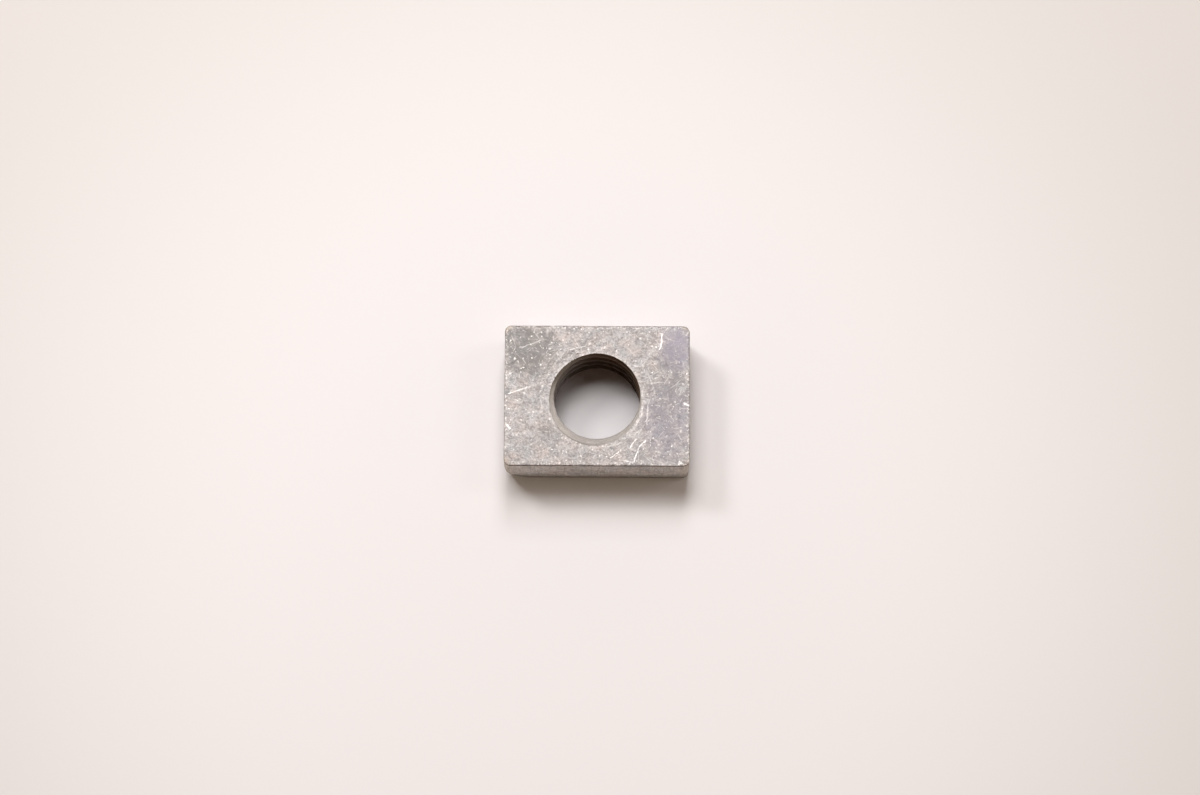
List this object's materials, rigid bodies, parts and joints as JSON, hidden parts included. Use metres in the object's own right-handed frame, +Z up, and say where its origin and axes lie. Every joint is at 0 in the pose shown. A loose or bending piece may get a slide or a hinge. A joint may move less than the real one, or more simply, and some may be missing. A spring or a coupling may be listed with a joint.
{
  "type": "battery terminal nut",
  "caption": "Small rectangular zinc-plated steel nut with a threaded hole through its middle, for clamping a cable lug to a battery terminal.",
  "frame": {"origin": "centre of the lower face, on the axis of the hole", "axes": "+Z up along the hole, +X along the long sides, -Y towards the viewer of the picture"},
  "size_m": [0.011, 0.0086, 0.004],
  "materials": {
    "zinc_plate": "dull zinc plate, mottled, with fine scuffs"
  },
  "bodies": {
    "root": {"terminal_nut": "zinc_plate"}
  },
  "joints": []
}
